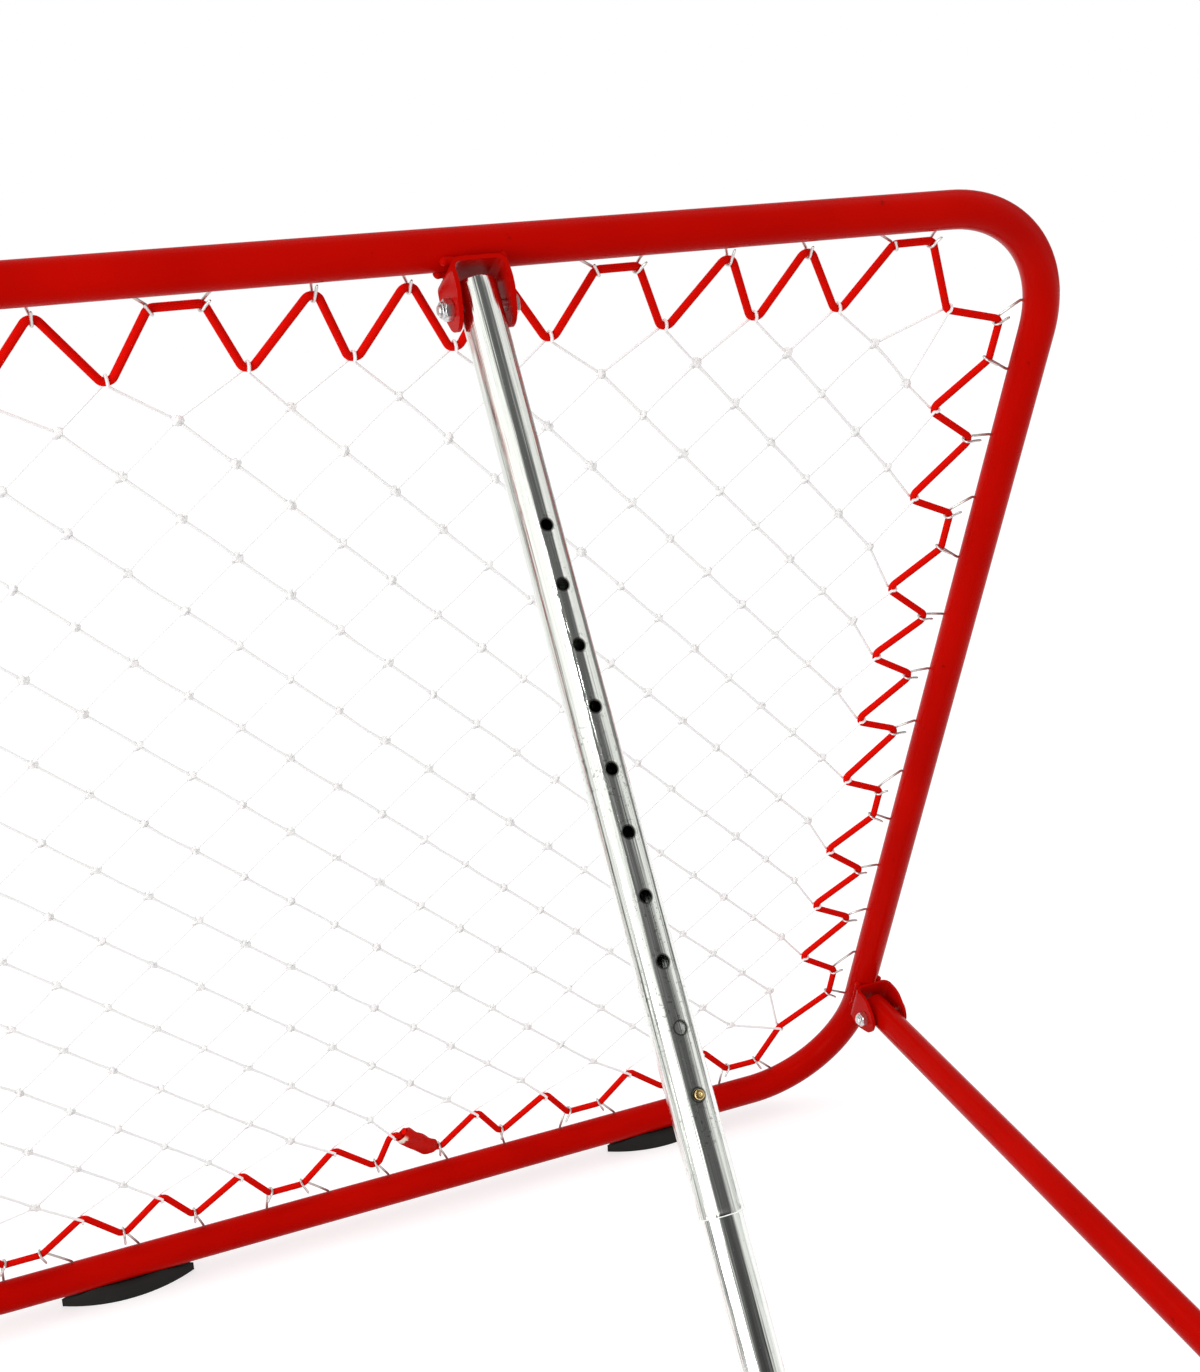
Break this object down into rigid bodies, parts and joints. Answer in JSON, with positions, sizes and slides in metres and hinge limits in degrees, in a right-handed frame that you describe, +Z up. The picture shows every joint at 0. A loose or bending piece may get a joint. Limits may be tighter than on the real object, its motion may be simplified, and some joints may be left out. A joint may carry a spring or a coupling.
{
  "type": "rebound net frame",
  "caption": "Square rebound frame of bent tube with an elastic-laced knotted net, leaning on a hinged U base and a telescopic strut with a snap button.",
  "frame": {"origin": "on the floor, under the middle of the standing part", "axes": "+X to the left as seen from behind, +Y backwards, away from the net's playing face and towards the strut, +Z up"},
  "size_m": [1.022, 0.9549, 0.9531],
  "materials": {
    "frame_paint": "gloss",
    "zinc_tube": "satin",
    "zinc_wire": "satin",
    "fasteners": "satin",
    "spring_steel": "satin",
    "button_brass": "gloss",
    "net_twine": "matte",
    "elastic": "matte",
    "splice_sleeve": "matte",
    "foot_rubber": "matte"
  },
  "bodies": {
    "base": {"base_tube": "frame_paint", "rear_bracket": "frame_paint", "base_feet": "foot_rubber"},
    "net_frame": {"frame_tube": "frame_paint", "hooks_top": "zinc_wire", "hooks_right": "zinc_wire", "hooks_bottom": "zinc_wire", "hooks_left": "zinc_wire", "net": "net_twine", "elastic_cord": "elastic", "cord_splice": "splice_sleeve", "top_bracket": "frame_paint", "side_bracket_right": "frame_paint", "side_bracket_left": "frame_paint", "top_bolt": "fasteners", "top_nut": "fasteners", "side_bolts": "fasteners", "side_nuts": "fasteners", "frame_feet": "foot_rubber"},
    "strut_outer": {"strut_outer_tube": "zinc_tube"},
    "strut_inner": {"strut_inner_tube": "zinc_tube", "button_spring": "spring_steel", "rear_bolt": "fasteners", "rear_nut": "fasteners"},
    "button": {"snap_button": "button_brass"}
  },
  "joints": [
    {"name": "frame_tilt", "type": "hinge", "parent": "base", "child": "net_frame", "pos_m": [0, -0.3779, 0.12723], "axis": [-1, 0, 0], "range_deg": [0, 29.19]},
    {"name": "strut_swing", "type": "hinge", "parent": "net_frame", "child": "strut_outer", "pos_m": [0, -0.10392, 0.90296], "axis": [1, 0, 0], "range_deg": [0, 14.44]},
    {"name": "strut_telescope", "type": "slide", "parent": "strut_outer", "child": "strut_inner", "axis": [0, -0.5413, 0.8409], "range_m": [0, 0.3601], "deforming": ["snap_button"]},
    {"name": "button_press", "type": "slide", "parent": "strut_inner", "child": "button", "axis": [0, -0.8409, -0.5413], "range_m": [0, 0.0037], "stiffness_N_per_m": 1000, "springref_m": -0.004, "deforming": ["button_spring"]}
  ],
  "couplings": [
    {"joint": "strut_swing", "follows": "frame_tilt", "ratio": 0.49463},
    {"joint": "strut_telescope", "follows": "frame_tilt", "m_per_rad": 0.70664}
  ]
}
